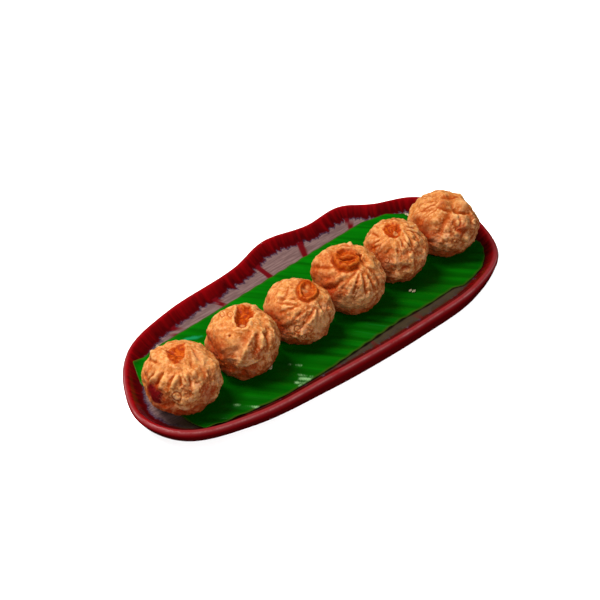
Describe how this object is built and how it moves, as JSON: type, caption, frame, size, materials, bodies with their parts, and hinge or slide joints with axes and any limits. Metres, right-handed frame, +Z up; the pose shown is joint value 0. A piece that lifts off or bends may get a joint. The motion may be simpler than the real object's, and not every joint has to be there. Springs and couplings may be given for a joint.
{
  "type": "plate of fried momo dumplings",
  "caption": "Row of pleated fried dumplings side by side on a strip of banana leaf, in a long shallow glazed plate with a waved rim.",
  "frame": {"origin": "under the middle of the plate's rim outline, on the surface the plate stands on", "axes": "+X along the plate and the row of dumplings, +Z up, +Y towards the rim's waved side"},
  "size_m": [0.3078, 0.141, 0.0544],
  "materials": {
    "red_glaze": "gloss",
    "banana_leaf": "satin",
    "fried_dough": "satin"
  },
  "bodies": {
    "root": {"plate": "red_glaze", "leaf": "banana_leaf", "momo_1": "fried_dough", "momo_2": "fried_dough", "momo_3": "fried_dough", "momo_4": "fried_dough", "momo_5": "fried_dough", "momo_6": "fried_dough"}
  },
  "joints": []
}
